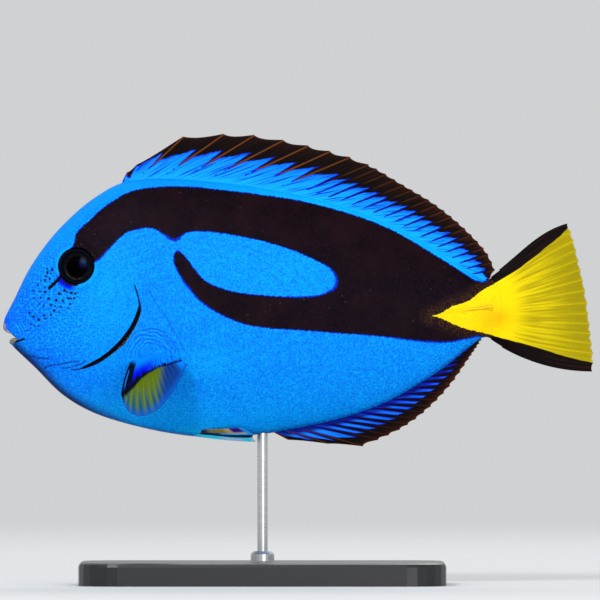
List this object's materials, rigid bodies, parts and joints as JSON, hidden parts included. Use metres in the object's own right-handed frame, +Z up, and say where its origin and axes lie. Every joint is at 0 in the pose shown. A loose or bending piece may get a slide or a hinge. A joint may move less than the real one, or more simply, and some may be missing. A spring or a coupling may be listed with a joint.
{
  "type": "regal blue tang model",
  "caption": "Life-size still model of a regal blue tang as it swims, with raised fin rays, held over a flat base by a short rod.",
  "frame": {"origin": "centre of the underside of the stand's base, below the rod", "axes": "+X towards the tail, +Y towards the fish's right side, +Z up, so that the fish faces -X and the camera at -Y sees its left side"},
  "size_m": [0.1804, 0.0664, 0.1378],
  "materials": {
    "skin_blue": "satin",
    "skin_black": "satin",
    "fin_yellow": "satin",
    "fin_blue": "satin",
    "eye": "glossy",
    "stand": "satin",
    "rod": "brushed"
  },
  "bodies": {
    "root": {"head": "skin_blue", "torso": "skin_blue", "tail_stalk": "skin_black", "caudal_fin": "fin_yellow", "dorsal_fin": "fin_blue", "anal_fin": "fin_blue", "pectoral_fin_left": "fin_yellow", "pectoral_fin_right": "fin_yellow", "pelvic_fin_left": "fin_blue", "pelvic_fin_right": "fin_blue", "eye_left": "eye", "eye_right": "eye", "tail_spine_left": "fin_yellow", "tail_spine_right": "fin_yellow", "stand_base": "stand", "stand_rod": "rod"}
  },
  "joints": []
}
